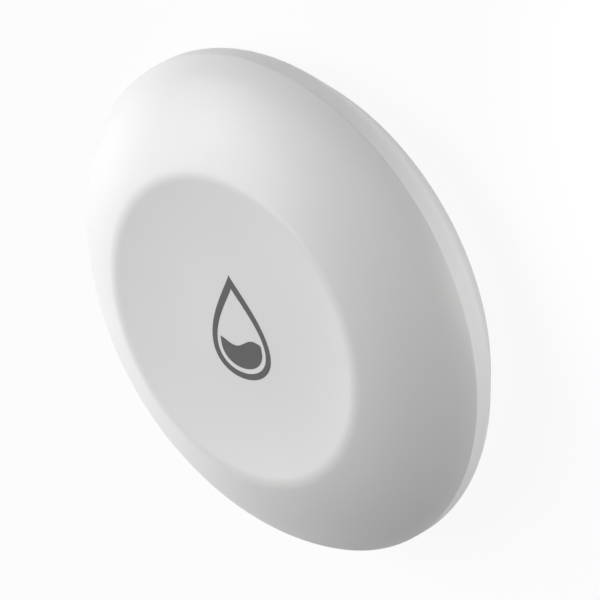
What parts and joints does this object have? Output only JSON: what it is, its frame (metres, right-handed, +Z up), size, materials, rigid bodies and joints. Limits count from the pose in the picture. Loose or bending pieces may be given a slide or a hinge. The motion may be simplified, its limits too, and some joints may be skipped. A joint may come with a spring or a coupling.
{
  "type": "water leak sensor",
  "caption": "Round white floor puck with a dished dome, a grey water drop mark and metal probe feet that sense a water leak under it.",
  "frame": {"origin": "centre of the footprint, in the plane of the floor that the probe feet stand on", "axes": "+Z up, out of the dished top; +Y the way the printed drop's tip points; +X to the right of the drop"},
  "size_m": [0.06, 0.06, 0.0148],
  "materials": {
    "cover_plastic": "white moulded plastic, fine satin texture",
    "drop_ink": "dark grey pad printed ink, used by the visual model's printed drop",
    "base_plastic": "white moulded plastic, fine satin texture",
    "seal_rubber": "soft black silicone",
    "board_laminate": "green solder mask on glass laminate",
    "holder_plastic": "black moulded",
    "cell_steel": "nickel plated",
    "spring_metal": "nickel plated",
    "probe_steel": "turned stainless steel",
    "screw_steel": "zinc plated",
    "shield_tin": "tinned sheet",
    "chip_resin": "moulded resin",
    "antenna_ceramic": "matt ceramic",
    "light_resin": "pale clear resin"
  },
  "bodies": {
    "root": {"top_cover": "cover_plastic", "base_shell": "base_plastic", "seal_ring": "seal_rubber", "probe_seal_1": "seal_rubber", "probe_seal_2": "seal_rubber", "probe_seal_3": "seal_rubber", "probe_seal_4": "seal_rubber", "circuit_board": "board_laminate", "battery_holder": "holder_plastic", "coin_cell": "cell_steel", "positive_contact": "spring_metal", "negative_contact": "spring_metal", "probe_spring_1": "spring_metal", "probe_spring_2": "spring_metal", "probe_spring_3": "spring_metal", "probe_spring_4": "spring_metal", "probe_contact_1": "probe_steel", "probe_contact_2": "probe_steel", "probe_contact_3": "probe_steel", "probe_contact_4": "probe_steel", "probe_nut_1": "screw_steel", "probe_nut_2": "screw_steel", "probe_nut_3": "screw_steel", "probe_nut_4": "screw_steel", "case_screw_1": "screw_steel", "case_screw_2": "screw_steel", "case_screw_3": "screw_steel", "case_screw_4": "screw_steel", "board_screw_1": "screw_steel", "board_screw_2": "screw_steel", "board_screw_3": "screw_steel", "radio_shield": "shield_tin", "clock_crystal": "shield_tin", "sensing_chip": "chip_resin", "storage_capacitor": "chip_resin", "chip_antenna": "antenna_ceramic", "status_light": "light_resin"}
  },
  "joints": []
}
